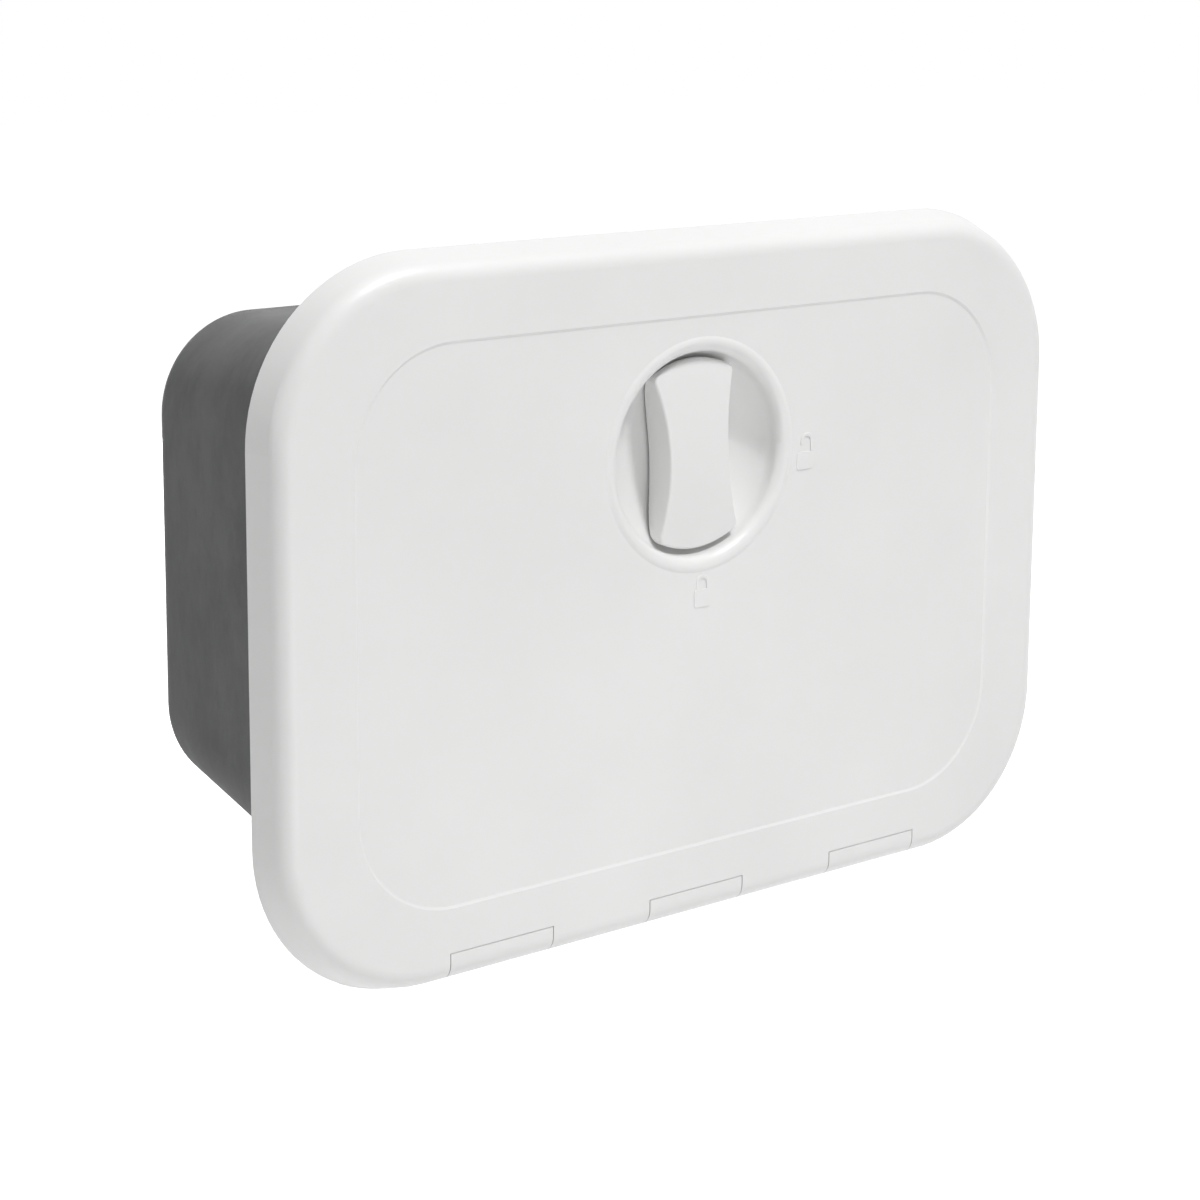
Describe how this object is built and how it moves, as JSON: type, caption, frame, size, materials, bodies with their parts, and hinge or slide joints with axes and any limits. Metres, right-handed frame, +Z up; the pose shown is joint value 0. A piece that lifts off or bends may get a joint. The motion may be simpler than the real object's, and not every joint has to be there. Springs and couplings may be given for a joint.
{
  "type": "hinged storage hatch with bin",
  "caption": "Rounded rectangular flush-hinged hatch lid with a quarter-turn grip in a round bowl, on a bulkhead frame with a deep tapered bin behind it.",
  "frame": {"origin": "centre of the frame's back face, which lies on the bulkhead", "axes": "+X to the right and +Z up, seen from the front; +Y runs back through the bulkhead into the bin, and the lid faces -Y"},
  "size_m": [0.3746, 0.1595, 0.2698],
  "materials": {
    "white_plastic": "satin",
    "bin_plastic": "matte",
    "seal_rubber": "matte",
    "stainless": "satin",
    "nylon": "matte"
  },
  "bodies": {
    "frame": {"frame": "white_plastic", "lid_seal": "seal_rubber", "storage_bin": "bin_plastic", "bin_screws": "stainless", "hinge_pin_left": "stainless", "hinge_pin_middle": "stainless", "hinge_pin_right": "stainless"},
    "lid": {"lid": "white_plastic"},
    "latch": {"latch_handle": "white_plastic", "handle_o_ring": "seal_rubber", "thrust_washer": "nylon", "disc_spring": "stainless", "latch_cam": "nylon", "cam_washer": "stainless", "cam_screw": "stainless"}
  },
  "joints": [
    {"name": "lid_hinge", "type": "hinge", "parent": "frame", "child": "lid", "pos_m": [0, -0.0095, -0.126], "axis": [1, 0, 0], "range_deg": [0, 120]},
    {"name": "latch_turn", "type": "hinge", "parent": "lid", "child": "latch", "pos_m": [0, 0, 0.05], "axis": [0, -1, 0], "range_deg": [0, 90]}
  ]
}
